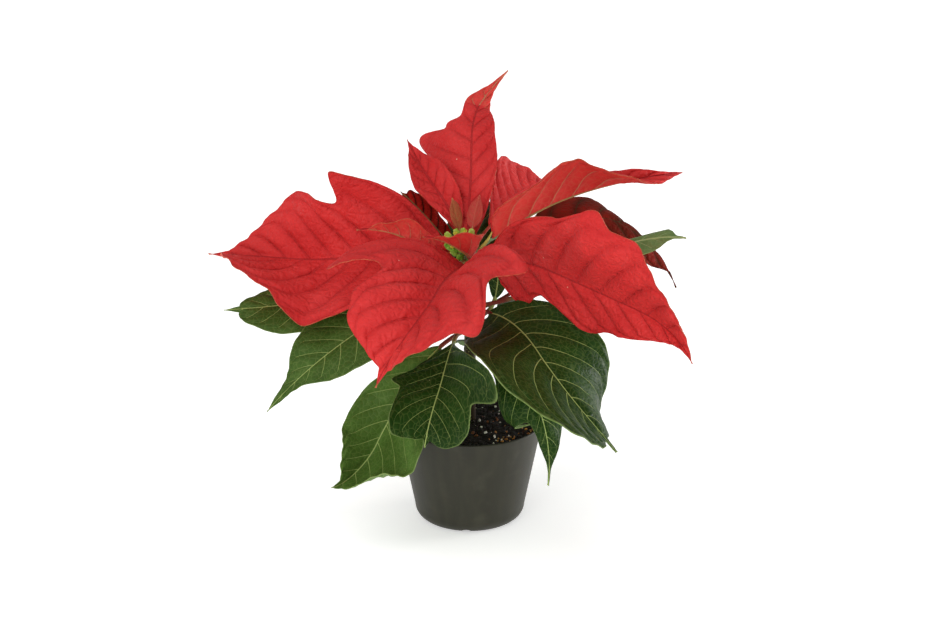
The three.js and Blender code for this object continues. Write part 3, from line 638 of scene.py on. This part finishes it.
def frame_at(leaf, rib, x):
    """The midrib's point x mm past the blade's foot, and the directions ahead, across and out of it."""
    total = leaf.stalk + leaf.length
    share = (leaf.stalk + x) / total
    kept = np.clip(share, 0, 1)
    ahead = direction(leaf, share)
    point = np.stack([along(rib[:, axis], kept) for axis in range(3)], axis=-1)
    point = point + ahead * ((share - kept) * total)[:, None]
    heading = np.radians(along(leaf.heading, share))
    side = np.stack([np.sin(heading), -np.cos(heading), np.zeros_like(heading)], axis=-1)
    up = np.cross(side, ahead)
    roll = np.radians(along(leaf.roll, x / leaf.length))[:, None]
    across = side * np.cos(roll) + up * np.sin(roll)
    face = up * np.cos(roll) - side * np.sin(roll)
    return point, ahead, across, face


def reach(leaf, s, side):
    """The half-width of the blade at a share s of its length: a smooth outline, its lobes, and a thin tip."""
    widest, fullness, width = leaf.widest, leaf.fullness, leaf.width[side]
    done = np.clip(s / (1 - BLADE.tail), 1e-6, 1)
    left = np.maximum(1 - done, 1e-9)
    half = width * (done / widest) ** (widest * fullness)
    half = half * (left / (1 - widest)) ** ((1 - widest) * fullness)
    for tooth_side, vein, height, base in leaf.teeth:
        if tooth_side == side:
            near = np.clip(1 - np.abs(done * (leaf.veins + 1) - vein) / base, 0, 1)
            half = half + height * near * near * (3 - 2 * near)
    drawn = np.minimum((s - TIP.start) / (TIP.full - TIP.start), (1 - s) / (1 - TIP.full))
    half = half + TIP.share * width * np.clip(drawn, 0, 1)
    half = half + BLADE.edge * np.sqrt(np.clip((1 - s) / BLADE.fade, 0, 1))
    return np.maximum(half, BLADE.least_half)


def flattened(leaf, s, t, seed):
    """Where a point of the blade lies along and across it if it were pressed flat, in millimetres."""
    out = np.abs(t)
    half = np.where(t > 0, reach(leaf, s, 1), reach(leaf, s, 0))
    uneven = noise_at(s * leaf.length / MARGIN.size, np.sign(t) * MARGIN.apart, seed)
    width = out * (half + MARGIN.depth * uneven * np.clip(half / MARGIN.full_width, 0, 1))
    lean = np.radians(mix(SWEEP.foot, SWEEP.tip, s) - SWEEP.bend * out)
    return s * leaf.length + width * np.cos(lean), width * np.sin(lean)


def blade_point(leaf, rib, s, t, seed):
    """A point of the blade's middle surface: s runs along the midrib, t from the left margin to the right."""
    right = t > 0
    x, y = flattened(leaf, s, t, seed)
    point, _, across, face = frame_at(leaf, rib, x)
    share = x / leaf.length
    bent, raised = (
        np.where(right, along(sides[1], share), along(sides[0], share)) for sides in (leaf.curl, leaf.fold)
    )
    width = np.where(right, leaf.width[1], leaf.width[0])
    rounded = (1 + KEEL) * y / (y + KEEL * width)
    lift = np.radians(raised * rounded - bent * y / width / 2)
    swing = np.sin(TURN * (WAVE.cycles * s + WAVE.phase + right / 2))
    wave = 0 if leaf.kind == "bractlet" else WAVE.height * t * t * swing
    sideways = np.where(right, y, -y) * np.cos(lift)
    return point + across * sideways[:, None] + face * (y * np.sin(lift) + wave)[:, None]


def blade_normal(leaf, rib, s, t, seed):
    """The way the blade faces at a point, from two small steps along and across it."""
    ds = 0.004
    dt = 0.03
    ahead = blade_point(leaf, rib, s + ds, t, seed) - blade_point(leaf, rib, s - ds, t, seed)
    across = blade_point(leaf, rib, s, t + dt, seed) - blade_point(leaf, rib, s, t - dt, seed)
    normal = np.cross(across, ahead)
    return normal / np.maximum(np.linalg.norm(normal, axis=1), 1e-12)[:, None]


def vein_count(leaf, s, t):
    """Which side vein a point is at, counted from the blade's foot: whole numbers lie on a vein."""
    out = np.abs(t)
    bowed = VEIN.bow * out ** 2 + (1 - VEIN.bow) * ramp(out, VEIN.turn, VEIN.joined)
    stagger = np.where(t > 0, VEIN.stagger * (1 - out) ** 2, 0)
    return s / (1 - BLADE.tail) * (leaf.veins + 1) - bowed + stagger


def relief_share(leaf):
    return min(sum(leaf.width) / FULL_RELIEF_WIDTH, 1)


def relief(leaf, s, t, x, y, seed):
    """How far the skin stands above the plain blade, in millimetres."""
    depth = RELIEF[leaf.kind]
    out = np.abs(t)
    count = vein_count(leaf, s, t)
    beside = np.abs(count - np.round(count))
    calm = ramp(out, *CALM.rib) * fade(out, *CALM.margin) * fade(s, *CALM.tip)
    puffed = depth["puff"] * 4 * beside * (1 - beside) * calm
    groove = depth["groove"] * np.exp(-(beside / GROOVE_WIDTH) ** 2) * calm
    rib = depth["rib"] * np.exp(-(y / RIB_WIDTH) ** 2) * fade(s, *CALM.rib_end)
    ruffled = depth["ruffle"] * out ** 3 * np.sin(TURN * count) * fade(s, *CALM.tip)
    coarse = noise_at(y / RUMPLE.size, count * RUMPLE.per_vein + np.sign(t) * RUMPLE.apart, seed)
    finer = (along_blade / RUMPLE.size * RUMPLE.finer for along_blade in (x, y))
    fine = noise_at(*finer, seed + RUMPLE.fine_seed)
    rumpled = depth["rumple"] * (coarse + RUMPLE.fine_share * fine)
    rumpled = rumpled * np.clip(out * 5, 0, 1) * fade(s, *CALM.rumple)
    return relief_share(leaf) * (puffed - groove - rib + ruffled + rumpled)


def grow_blade(leaf, rib, seed, skins):
    """The blade as one thin closed skin, with its upper face, lower face and edge in their own materials."""
    columns = max(int(sum(reach(leaf, leaf.widest, side) for side in (0, 1)) / MESH_STEP), 16)
    rows = max(int(leaf.length / MESH_STEP), 24)

    def place(u, w):
        s = w
        t = 2 * u - 1
        x, y = flattened(leaf, s, t, seed)
        normal = blade_normal(leaf, rib, s, t, seed)
        points = blade_point(leaf, rib, s, t, seed) + normal * relief(leaf, s, t, x, y, seed)[:, None]
        return points, {"veins": (vein_count(leaf, s, t), t), "place": (x * MM, np.sign(t) * y * MM)}

    upper, under, edge = skins
    blade = sheet(leaf.name + "_skin", 2 * (columns // 2), rows, place)
    coat(blade, upper, under, upper, edge)
    turned_over = TURNED_OVER.get(leaf.name, 1) * leaf.length * MM
    spots = blade.data.uv_layers["place"].data
    for face in blade.data.polygons:
        face.material_index = int(spots[face.loop_start].uv.x > turned_over)
    thickness = BLADE.thickness * MM
    modify(blade, "SOLIDIFY", thickness=thickness, offset=0, material_offset=1, material_offset_rim=3)
    return blade


def grow_stalk(leaf, rib, material):
    """The stalk, swollen where it leaves the stem, running on as a rib under the blade nearly to its tip."""
    x = np.linspace(-leaf.stalk - STALK.into_stem, leaf.length * STALK.end, STALK.points)
    point, _, across, face = frame_at(leaf, rib, x)
    share = np.clip(x / leaf.length, 0, 1)
    swell = 1 + STALK.swell * np.exp(-(((x + leaf.stalk) / STALK.swell_length) ** 2))
    radii = STALK_RADIUS[leaf.kind] * swell * (1 - STALK_RIB.taper * share)
    radii = radii * np.where(share > 0, STALK_RIB.radius, 1)
    radii[[0, -1]] = 0
    sunk = RELIEF[leaf.kind]["rib"] * relief_share(leaf)
    under = sunk * fade(share, *CALM.rib_end) + np.maximum(radii - STALK_RIB.touch, 0)
    centres = point - face * (under * ramp(x, *STALK_RIB.joined))[:, None]
    return coat(tube(leaf.name + "_stalk", centres, across, face, radii, STALK.sides), material)


def grow_leaf(leaf, seed, skins, stalk_skin, slot):
    rib = rib_of(leaf)
    blade = grow_blade(leaf, rib, seed, skins)
    stalk = grow_stalk(leaf, rib, stalk_skin)
    whole = join([blade, stalk], leaf.name + "_grown")
    smooth(whole, 50)
    settle(whole, leaf.name, slot)


def grow_leaves():
    skins = {name: blade_material(name, Values(**look)) for name, look in LOOKS.items()}
    skins["bract_edge"] = tissue_material("bract_edge_red", "#a63a2c", "#b85a40")
    skins["leaf_edge"] = tissue_material("leaf_edge_green", "#5f7436", "#7d9155")
    red_stalk = stalk_material("bract_stalk_red", "#7f8c4a", "#a83a30", "#b0764c")
    green_stalk = stalk_material("bract_stalk_green", "#6c9660", "#7a9c74", "#a8905c")
    leaf_stalk = stalk_material("leaf_stalk_maroon", "#5d6b38", "#6e2f28", "#8fa05c")
    bract = ("bract_velvet", "bract_underside", "bract_edge")
    # Upper side, underside and edge, then the stalk and the slot, for a kind of leaf or for one by its name.
    dressing = {
        "bract": (bract, red_stalk, "bract_red"),
        "bract_right_raised": (bract, green_stalk, "bract_red"),
        "leaf_back_right": (("leaf_underside",) * 3, leaf_stalk, "leaf_green"),
    }
    for name, tone in {"yellow": "amber", "red": "red", "olive": "olive"}.items():
        dressing["bractlet_" + name] = (("young_" + tone,) * 3, green_stalk, "young_bract")
    for name, upper in {"dark": "maroon_satin", "dark_leaf_left": "maroon_red"}.items():
        dressing[name] = ((upper, "maroon_underside", "maroon_underside"), leaf_stalk, "leaf_maroon")
    # leaf_fresh and leaf_pale are painted light: lighter copies of the satin green for the leaves lit from
    # the left.
    greens = {"leaf": "satin", "leaf_left": "fresh", "leaf_far_left": "fresh", "leaf_front_left": "pale"}
    for name, tone in greens.items():
        dressing[name] = (("leaf_" + tone, "leaf_underside", "leaf_edge"), leaf_stalk, "leaf_green")
    for number, leaf in enumerate(LEAVES):
        names, stalk_skin, slot = dressing.get(leaf.name) or dressing[leaf.kind]
        grow_leaf(leaf, 10.0 * number, [skins[name] for name in names], stalk_skin, slot)


# ---- stem ----
def grow_stem():
    """The stem, a little swollen and scarred at every leaf, with a blunt top."""
    crown = STEM.crown
    heights = np.concatenate([np.linspace(STEM.root, crown - 1, 220), [crown - 0.4, crown]])
    radii = stem_radius(heights)
    for leaf in LEAVES:
        below = (heights - leaf.start + SCAR.below) / SCAR.length
        radii = radii + SCAR.height * np.exp(-(below ** 2))
    radii[-2:] *= [0.75, 0]
    outline = [(0, STEM.root)] + list(zip(radii, heights))

    def bulge(radius, height, angle):
        wavy = 0.12 * np.sin(3 * angle + height / 17) + 0.08 * np.sin(5 * angle - height / 9)
        return radius * (1 + wavy * 0.3), height

    stem = coat(turned("stem_grown", outline, 32, bulge), stem_material())
    smooth(stem, 60)
    settle(stem, "stem", "stem_green")


# ---- flower cups ----
def one_cup(skin, lip_skin):
    """One flower cup standing on Z about its middle: a ribbed urn, its fringed mouth and one waxy lip."""
    outline = [(0, -2.9), (0.8, -2.8), (1.5, -2.2), (2.0, -1.2), (2.2, 0), (2.1, 1.1), (1.7, 2.0)]
    outline += [(1.5, 2.5), (1.6, 2.9), (1.3, 3.0), (1.0, 2.4), (0.8, 2.2), (0, 2.1)]

    def bulge(radius, height, angle):
        ribbed = 1 + 0.05 * np.cos(5 * angle) * (height < 2.1)
        fringe = 0.3 * np.cos(10 * angle) * np.clip(height - 2.4, 0, 1)
        return radius * ribbed, height + fringe

    urn = coat(turned("urn", outline, 30, bulge), skin, lip_skin)
    bpy.ops.mesh.primitive_torus_add(
        location=(0, -1.9 * MM, 1.5 * MM), rotation=(math.radians(60), 0, 0),
        major_segments=20, minor_segments=10, major_radius=0.9 * MM, minor_radius=0.42 * MM,
    )
    parts = [urn, coat(begin("lip", stretch=(1.25, 0.75, 1.0)), lip_skin)]
    for turn in range(5):
        angle = TURN * turn / 5
        place = Vector((0.7 * math.cos(angle), 0.7 * math.sin(angle), 2.7 + 0.3 * math.cos(3 * turn)))
        bpy.ops.mesh.primitive_ico_sphere_add(radius=0.5 * MM, subdivisions=2, location=place * MM)
        parts.append(coat(begin("knob"), skin))
    return join(parts, "cup_pattern")


def grow_cups():
    """The cluster of flower cups on short stalks over the stem's top: pale open ones above, buds below."""
    skin = tissue_material("flower_cup_green", "#5f962a", "#96ba4c")
    lip = tissue_material("nectar_lip_yellow", "#c8b83a", "#e0d468")
    patterns = [one_cup(skin, lip), one_cup(tissue_material("flower_cup_pale", "#9cb840", "#c8d474"), lip)]
    root = Vector((0, 0, STEM.crown + SOIL.gap))
    parts = []
    for number, (x, y, z) in enumerate(CUPS):
        middle = Vector((x, y, STEM.crown + z))
        leaning = (middle - root).normalized()
        upwards = (leaning + Vector((0, 0, 1))).normalized()
        turn = upwards.to_track_quat("Z", "Y").to_matrix().to_4x4()
        spin = Matrix.Rotation(TURN * 0.13 * number, 4, "Z")
        parts.append(copy_of(patterns[z > OPEN_CUPS_ABOVE], Matrix.Translation(middle * MM) @ turn @ spin))
        line = np.array([root.lerp(middle, share) for share in np.linspace(0, 1, CUP_STALK.points)])
        side = np.array(leaning.orthogonal().normalized())
        up = np.cross(np.array(leaning), side)
        radii = np.concatenate([[0], np.linspace(*CUP_STALK.radii, len(line) - 2), [0]])
        ways = [np.tile(way, (len(line), 1)) for way in (side, up)]
        parts.append(coat(tube("cup_stalk", line, *ways, radii, CUP_STALK.sides), skin))
    outline = [(0, -2.6), (1.4, -2.3), (2.3, -1.3), (2.7, 0), (2.3, 1.4), (1.3, 2.3), (0, 2.7)]
    knob = coat(turned("knob", outline, 20), skin)
    knob.data.transform(Matrix.Translation(root * MM))
    for pattern in patterns:
        bpy.data.objects.remove(pattern)
    cups = join([*parts, knob], "flower_cups_grown")
    smooth(cups, 60)
    settle(cups, "flower_cups", "flower_cup")


# ---- pot ----
def wall_radius(z):
    return mix(POT.foot_radius, POT.rim_radius, z / POT.height)


def pot_corner(inset, count):
    """The rounded corner between base and wall, `inset` mm inside the pot's outer side."""
    radius = POT.corner - inset
    centre = wall_radius(POT.corner) - POT.corner
    angles = np.radians(np.linspace(-90, 0, count + 1))
    return [(centre + radius * math.cos(a), POT.corner + radius * math.sin(a)) for a in angles]


def mould_pot():
    """A thin tapered pot with a rounded foot, a rounded rim edge and drainage notches round its foot."""
    half = POT.wall / 2
    rim = [(POT.rim_radius - half + half * math.cos(a), POT.height - half + half * math.sin(a))
           for a in np.radians(np.linspace(0, 180, 7))]
    levels = np.linspace(POT.corner, POT.height - half, 24)[1:-1]
    outside = pot_corner(0, 12) + [(wall_radius(z), z) for z in levels]
    inside = pot_corner(POT.wall, 12) + [(wall_radius(z) - POT.wall, z) for z in levels]
    outline = [(0, 0), *outside, *rim, *reversed(inside), (0, POT.wall)]
    pot = turned("pot_moulded", outline, 168)
    cutters = []
    for number in range(NOTCH.count):
        heading = math.radians(NOTCH.first_heading) + TURN * number / NOTCH.count
        middle = NOTCH.start + NOTCH.length / 2
        bpy.ops.mesh.primitive_cylinder_add(
            vertices=40, radius=NOTCH.height * MM, depth=NOTCH.length * MM,
            location=(middle * math.cos(heading) * MM, middle * math.sin(heading) * MM, 0),
            rotation=(0, math.pi / 2, heading),
        )
        cutters.append(begin("notch", stretch=(1, NOTCH.width / 2 / NOTCH.height, 1)))
    cutter = join(cutters, "notches")
    modify(pot, "BOOLEAN", object=cutter, operation="DIFFERENCE", solver="EXACT")
    bpy.data.objects.remove(cutter)
    smooth(coat(pot, pot_material()), 40)
    settle(pot, "pot", "pot_plastic")


# ---- soil ----
def soil_top(x, y):
    """Height of the soil's slightly heaped and uneven top."""
    from_rim = POT.rim_radius - np.hypot(x, y)
    bump = np.sin(TURN * x / SOIL.bump_spacing) * np.cos(TURN * y / SOIL.bump_spacing)
    heap = SOIL.rise * from_rim / POT.rim_radius
    calm = np.clip(from_rim / SOIL.calm_rim, 0, 1)
    return POT.height - SOIL.below_rim + heap + SOIL.bump * bump * calm


def scatter(name, pattern, places, skin):
    """Copies a small pattern to each place: a point, a size and a turn about a slanting axis."""
    corners = np.array([v.co for v in pattern.data.vertices])
    faces = np.array([f.vertices for f in pattern.data.polygons])
    points = []
    for point, size, flat, turn in places:
        matrix = np.array(Matrix.Rotation(turn, 3, Vector((math.cos(3 * turn), math.sin(5 * turn), 0.4))))
        points.append((corners * size * np.array([1, flat, 0.8])) @ matrix.T + point)
    shift = np.arange(len(places))[:, None, None] * len(corners)
    mesh = bpy.data.meshes.new(name)
    mesh.from_pydata((np.vstack(points) * MM).tolist(), [], (faces[None] + shift).reshape(-1, 3).tolist())
    return coat(stand(name, mesh), skin)


def crumb_pattern():
    """One rough crumb about a unit across."""
    bpy.ops.mesh.primitive_ico_sphere_add(subdivisions=1, radius=1)
    crumb = begin("crumb")
    for corner in crumb.data.vertices:
        corner.co *= 1 + 0.3 * noise.noise(corner.co * 2.3)
    return crumb


def lay_places(draw, count, small, large, inner, outer, sunk, middle=0, spread=360):
    """Random places on the soil: sizes between small and large, between two shares of the pot's radius.

    They lie within `spread` degrees about the heading `middle`.
    """
    places = []
    for _ in range(count):
        size = mix(small, large, draw.random() ** 2)
        share = math.sqrt(mix(inner ** 2, outer ** 2, draw.random()))
        radius = (POT.rim_radius - POT.wall - 1 - size) * share
        angle = math.radians(middle + spread * (draw.random() - 0.5))
        x, y = radius * math.cos(angle), radius * math.sin(angle)
        spot = np.array([x, y, float(soil_top(x, y)) + size * (0.5 - sunk)])
        places.append((spot, size, mix(0.6, 1.0, draw.random()), TURN * draw.random()))
    return places


def fill_soil():
    """Peat that fills the pot, its top rough with crumbs, white perlite grains and amber fertiliser beads."""
    edge = POT.wall + SOIL.gap
    top = POT.height - SOIL.below_rim
    rim = wall_radius(top) - edge
    outline = [(0, edge), *pot_corner(edge, 6), *[(radius, top) for radius in np.linspace(rim, 0, 90)]]

    def bulge(radius, height, angle):
        x, y = radius * np.cos(angle), radius * np.sin(angle)
        rough = 0.9 * noise_at(x / 4, y / 4, 1.0) + 0.5 * noise_at(x / 1.6, y / 1.6, 2.0)
        risen = soil_top(x, y) + rough * np.clip((rim - radius) / 3, 0.2, 1)
        return radius, np.where(height > top - 0.1, risen, height)

    peat = soil_material("peat_dark", 2.5, "#090706", "#18110d")
    parts = [coat(turned("soil_body", outline, 220, bulge), peat)]
    draw = random.Random(7)
    pattern = crumb_pattern()
    crumb_skin = soil_material("peat_crumbs", 1.5, "#0e0a08", "#271b13")
    perlite = grain_material("perlite_white", ("#b9b4a8", "#e6e3da"), 0.8, {"IOR": 1.5})
    amber = {"Transmission Weight": 0.35, "IOR": 1.45}
    bead = grain_material("fertiliser_bead_amber", ("#a05a1c", "#d8a040"), 0.25, amber)
    bark = grain_material("bark_chip_brown", ("#3c2414", "#7a4a28"), 0.8, {"IOR": 1.4})
    for name, skin, kinds in (
        ("crumbs", crumb_skin, ["crumbs"]), ("perlite", perlite, ["perlite"]),
        ("beads", bead, ["rim_beads", "beads"]), ("chips", bark, ["chips"]),
    ):
        places = [place for kind in kinds for place in lay_places(draw, **LAID[kind])]
        parts.append(scatter(name, pattern, places, skin))
    bpy.data.objects.remove(pattern)
    soil = join(parts, "soil_filled")
    smooth(soil, 70)
    settle(soil, "soil", "potting_soil")


# ---- stage, lights and camera ----
# The view from a little above: millimetres, degrees, and the focal length for a frame 946 wide.
CAMERA = Values(target=(2.2, 0, 145), distance=1300, elevation=18, focal=1930, frame_width=946)


def place_camera():
    lens = bpy.data.cameras.new("camera")
    lens.sensor_width = 36
    lens.lens = CAMERA.focal / CAMERA.frame_width * lens.sensor_width
    camera = stand("camera", lens)
    elevation = math.radians(CAMERA.elevation)
    back = Vector((0, -math.cos(elevation), math.sin(elevation)))
    camera.location = (Vector(CAMERA.target) + back * CAMERA.distance) * MM
    camera.rotation_euler = (math.pi / 2 - elevation, 0, 0)
    bpy.context.scene.camera = camera


def lay_floor():
    bpy.ops.mesh.primitive_circle_add(vertices=64, radius=6, fill_type="NGON")
    floor = coat(begin("floor"), floor_material())


def soft_light(name, size, strength, place, aim):
    """A square soft light at a place, turned to what it lights, in metres."""
    lamp = bpy.data.lights.new(name, "AREA")
    lamp.shape = "SQUARE"
    lamp.size = size
    lamp.energy = strength
    light = stand(name, lamp)
    light.location = place
    light.rotation_euler = (Vector(aim) - Vector(place)).to_track_quat("-Z", "Y").to_euler()


def light_studio():
    """A white tent: even light from all round, a broad one overhead, one in front and one on the right."""
    world = bpy.data.worlds.new("studio")
    world.use_nodes = True
    backdrop = world.node_tree.nodes["Background"].inputs
    backdrop["Color"].default_value = (1, 1, 1, 1)
    backdrop["Strength"].default_value = 0.5
    bpy.context.scene.world = world
    sky = bpy.data.lights.new("overhead", "SUN")
    sky.energy = 0.9
    sky.angle = math.radians(50)
    light = stand("overhead", sky)
    light.rotation_euler = Vector((0.3, 0.3, -1)).to_track_quat("-Z", "Y").to_euler()
    soft_light("front", 1.2, 13, (-0.4, -1.5, 0.35), (0, 0, 0.13))
    soft_light("right_edge", 0.5, 12, (1.2, 0.35, 0.12), (0.03, 0, 0.08))
    bpy.context.scene.view_settings.view_transform = "Standard"


place_camera()
lay_floor()
light_studio()
grow_leaves()
grow_stem()
grow_cups()
mould_pot()
fill_soil()
